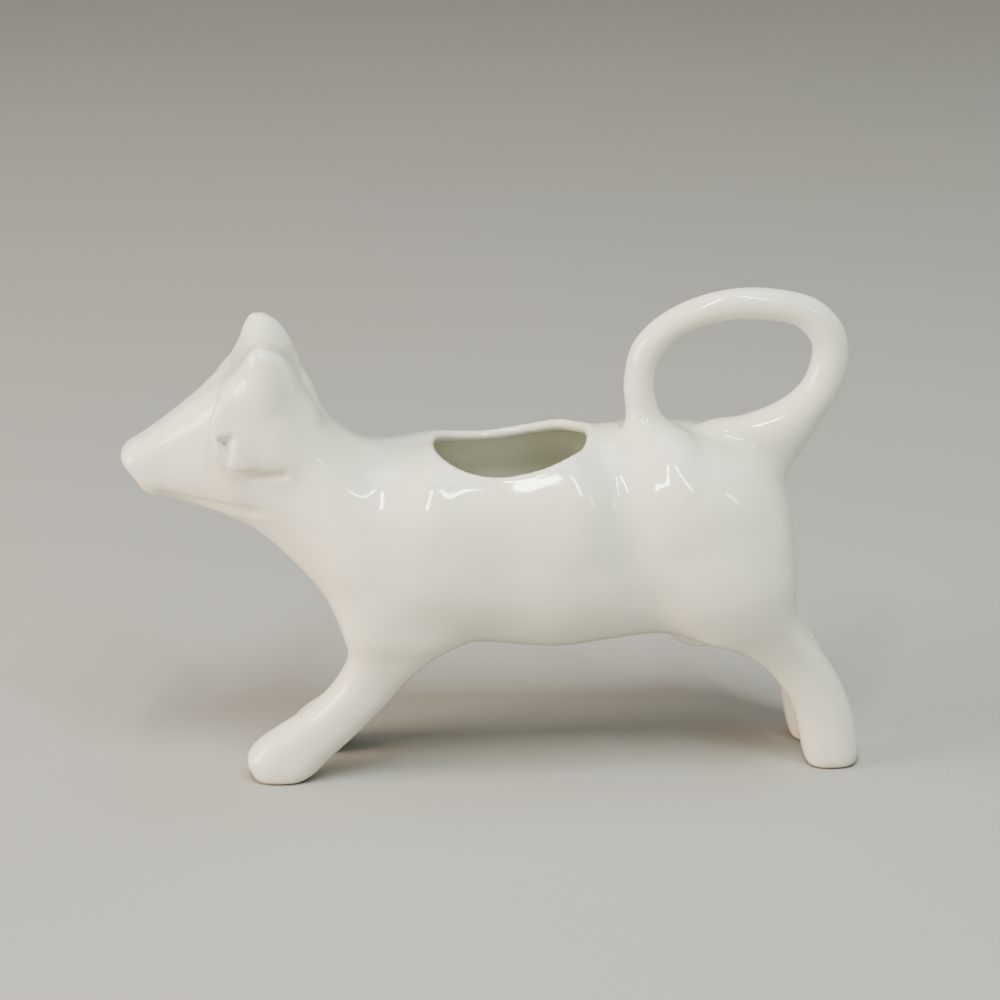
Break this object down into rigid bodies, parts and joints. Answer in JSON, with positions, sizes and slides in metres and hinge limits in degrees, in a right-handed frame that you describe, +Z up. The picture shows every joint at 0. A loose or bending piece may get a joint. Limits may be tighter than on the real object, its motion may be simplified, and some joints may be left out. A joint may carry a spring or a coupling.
{
  "type": "cow creamer",
  "caption": "Hollow white porcelain cow for serving cream: filled through its open back, poured through its mouth and held by its tail, which loops forward over the back.",
  "frame": {"origin": "middle of the box's footprint, at the level that the four soles stand on", "axes": "-X towards the head and the pouring mouth, -Y towards the cow's left side, +Z up"},
  "size_m": [0.178, 0.054, 0.1176],
  "materials": {
    "glaze": "glossy white glaze over porcelain, with the soles' edges left bare"
  },
  "bodies": {
    "root": {"body": "glaze", "head": "glaze", "left_ear": "glaze", "right_ear": "glaze", "left_horn": "glaze", "right_horn": "glaze", "tail_handle": "glaze", "front_left_leg": "glaze", "front_right_leg": "glaze", "rear_left_leg": "glaze", "rear_right_leg": "glaze", "udder": "glaze"}
  },
  "joints": []
}
